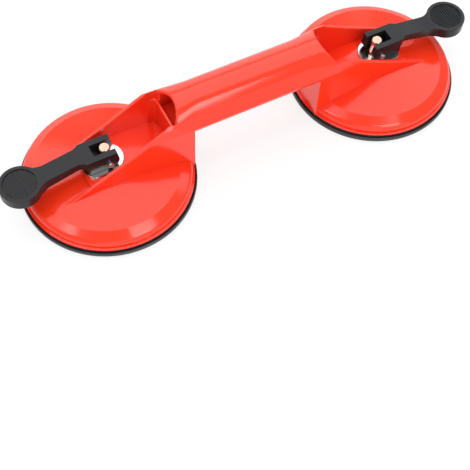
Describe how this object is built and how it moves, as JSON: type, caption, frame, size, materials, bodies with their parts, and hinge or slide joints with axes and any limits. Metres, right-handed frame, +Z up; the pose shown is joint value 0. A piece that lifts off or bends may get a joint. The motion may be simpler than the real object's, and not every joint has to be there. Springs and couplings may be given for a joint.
{
  "type": "suction lifter",
  "caption": "Twin-cup hand lifter: bar grip joining round suction cups with rubber undersides, each drawn up by a forked cam lever on a pinned stud.",
  "frame": {"origin": "midway between the cups, in the plane of the rubber undersides", "axes": "+X along the handle towards the right cup, +Y across the handle, +Z up from the gripped surface"},
  "size_m": [0.3516, 0.12, 0.0612],
  "materials": {
    "red_body": "gloss",
    "rubber": "satin",
    "plate_steel": "satin",
    "copper": "polished",
    "bright_steel": "polished",
    "black_plastic": "satin"
  },
  "bodies": {
    "housing": {"handle_body": "red_body", "left_rubber_disc": "rubber", "right_rubber_disc": "rubber", "left_washer": "bright_steel", "right_washer": "bright_steel"},
    "left_pull": {"left_stem": "copper", "left_insert_plate": "plate_steel", "left_cross_pin": "bright_steel"},
    "left_lever": {"left_cam_lever": "black_plastic"},
    "right_pull": {"right_stem": "copper", "right_insert_plate": "plate_steel", "right_cross_pin": "bright_steel"},
    "right_lever": {"right_cam_lever": "black_plastic"}
  },
  "joints": [
    {"name": "left_pull_up", "type": "slide", "parent": "housing", "child": "left_pull", "axis": [0, 0, 1], "range_m": [0, 0.0028], "deforming": ["left_rubber_disc"]},
    {"name": "left_lever_turn", "type": "hinge", "parent": "left_pull", "child": "left_lever", "pos_m": [-0.1035, 0, 0.03035], "axis": [0, 1, 0], "range_deg": [0, 100]},
    {"name": "right_pull_up", "type": "slide", "parent": "housing", "child": "right_pull", "axis": [0, 0, 1], "range_m": [0, 0.0028], "deforming": ["right_rubber_disc"]},
    {"name": "right_lever_turn", "type": "hinge", "parent": "right_pull", "child": "right_lever", "pos_m": [0.1035, 0, 0.03035], "axis": [0, -1, 0], "range_deg": [0, 100]}
  ],
  "couplings": [
    {"joint": "left_pull_up", "follows": "left_lever_turn", "m_per_rad": 0.0016},
    {"joint": "right_pull_up", "follows": "right_lever_turn", "m_per_rad": 0.0016}
  ]
}
